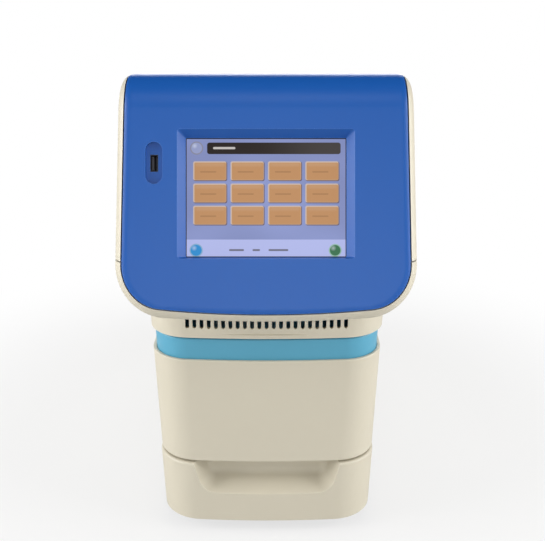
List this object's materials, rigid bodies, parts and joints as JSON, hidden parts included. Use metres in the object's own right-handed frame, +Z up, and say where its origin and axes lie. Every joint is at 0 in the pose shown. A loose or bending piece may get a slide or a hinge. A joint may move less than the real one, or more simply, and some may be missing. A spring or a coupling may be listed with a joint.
{
  "type": "real-time PCR machine",
  "caption": "Bench thermal cycler that reads fluorescence, with a leaned-back touch screen in a blue bezel over a sliding sample drawer.",
  "frame": {"origin": "middle of the object's footprint box, on the bench under the feet", "axes": "+X to the right seen from the front, +Y to the back, +Z up; the screen and drawer face -Y"},
  "size_m": [0.246, 0.512, 0.426],
  "materials": {
    "cream_housing": "moulded ABS with a fine satin grain, warm cream",
    "blue_bezel": "blue moulded bezel, satin gloss",
    "teal_deck": "light blue-green moulded drawer deck, satin",
    "touch_glass": "touch screen glass over a colour picture",
    "black_plastic": "black moulded plastic",
    "grey_coat": "light grey powder coat on sheet steel",
    "zinc_steel": "zinc-plated sheet steel",
    "bright_steel": "ground steel rods, screws and slides",
    "aluminium": "machined or extruded aluminium",
    "black_anodised": "black anodised casting",
    "brass": "turned brass",
    "board_green": "circuit board with solder mask",
    "ceramic_white": "white ceramic faces of the Peltier modules",
    "insulation": "pale insulating foam plastic",
    "rubber_grey": "soft dark rubber",
    "lens_glass": "clear optical glass",
    "filter_glass": "coated filter glass",
    "mirror_face": "front-silvered mirror"
  },
  "bodies": {
    "chassis": {"rubber_feet": "rubber_grey", "base_pan": "zinc_steel", "side_frame_left": "zinc_steel", "side_frame_right": "zinc_steel", "base_housing": "cream_housing", "side_cover_left": "cream_housing", "side_cover_right": "cream_housing", "chin_housing": "cream_housing", "upper_cover": "cream_housing", "rear_panel": "grey_coat", "front_bezel": "blue_bezel", "touch_glass": "touch_glass", "display_module": "black_plastic", "display_bracket": "zinc_steel", "display_board": "board_green", "usb_port": "bright_steel", "slide_outer": "bright_steel", "exhaust_fan_housing": "black_plastic", "guide_rods": "bright_steel", "timing_belt": "rubber_grey", "lid_motor": "black_anodised", "optics_deck": "zinc_steel", "field_lens": "lens_glass", "optics_housing": "black_anodised", "optics_cover": "zinc_steel", "fold_mirror": "mirror_face", "wheel_motor": "black_anodised", "camera_module": "black_anodised", "led_lamp": "black_anodised", "optics_bench": "zinc_steel", "power_supply": "zinc_steel", "main_board": "board_green", "power_inlet": "black_plastic", "switch_housing": "black_plastic", "network_port": "bright_steel", "serial_port": "bright_steel", "rear_usb_port": "bright_steel", "fan_guard": "bright_steel", "rear_screws": "bright_steel"},
    "drawer": {"drawer_shell": "cream_housing", "drawer_deck": "teal_deck", "drawer_tray": "zinc_steel", "slide_inner": "bright_steel", "heat_sink": "aluminium", "peltier_modules": "ceramic_white", "sample_block": "aluminium", "block_collar": "insulation", "block_fan_housing": "black_plastic"},
    "middle_rails": {"slide_middle": "bright_steel"},
    "block_fan": {"block_fan_rotor": "black_plastic"},
    "heated_lid": {"lid_frame": "black_anodised", "heated_plate": "aluminium", "lid_nuts": "brass"},
    "screw_left": {"lead_screw_left": "bright_steel"},
    "screw_right": {"lead_screw_right": "bright_steel"},
    "motor_drive": {"motor_pulley": "aluminium"},
    "wheel": {"filter_wheel": "black_anodised", "filters": "filter_glass"},
    "exhaust_rotor": {"exhaust_fan_rotor": "black_plastic"},
    "rocker": {"power_rocker": "black_plastic"}
  },
  "joints": [
    {"name": "drawer_slide", "type": "slide", "parent": "chassis", "child": "drawer", "axis": [0, -1, 0], "range_m": [0, 0.215]},
    {"name": "middle_rail_slide", "type": "slide", "parent": "chassis", "child": "middle_rails", "axis": [0, -1, 0], "range_m": [0, 0.1075]},
    {"name": "lid_lift", "type": "slide", "parent": "chassis", "child": "heated_lid", "axis": [0, 0, -1], "range_m": [0, 0.016]},
    {"name": "screw_turn_left", "type": "hinge", "parent": "chassis", "child": "screw_left", "pos_m": [-0.078, -0.033, 0.25], "axis": [0, 0, 1], "range_deg": [0, 720]},
    {"name": "screw_turn_right", "type": "hinge", "parent": "chassis", "child": "screw_right", "pos_m": [0.078, -0.033, 0.25], "axis": [0, 0, 1], "range_deg": [0, 720]},
    {"name": "lid_motor_turn", "type": "hinge", "parent": "chassis", "child": "motor_drive", "pos_m": [0, 0.006, 0.25], "axis": [0, 0, 1], "range_deg": [0, 720]},
    {"name": "filter_wheel_turn", "type": "hinge", "parent": "chassis", "child": "wheel", "pos_m": [-0.034, 0.066, 0.33], "axis": [0, 1, 0], "continuous": true},
    {"name": "exhaust_fan_turn", "type": "hinge", "parent": "chassis", "child": "exhaust_rotor", "pos_m": [0, 0.24, 0.19], "axis": [0, 1, 0], "continuous": true},
    {"name": "block_fan_turn", "type": "hinge", "parent": "drawer", "child": "block_fan", "pos_m": [0, -0.094, 0.1], "axis": [0, 0, 1], "continuous": true},
    {"name": "rocker_press", "type": "hinge", "parent": "chassis", "child": "rocker", "pos_m": [-0.018, 0.2495, 0.046], "axis": [1, 0, 0], "range_deg": [0, 14]}
  ],
  "couplings": [
    {"joint": "middle_rail_slide", "follows": "drawer_slide", "ratio": 0.5},
    {"joint": "screw_turn_left", "follows": "lid_lift", "rad_per_m": 785},
    {"joint": "screw_turn_right", "follows": "lid_lift", "rad_per_m": 785},
    {"joint": "lid_motor_turn", "follows": "lid_lift", "rad_per_m": 785}
  ]
}
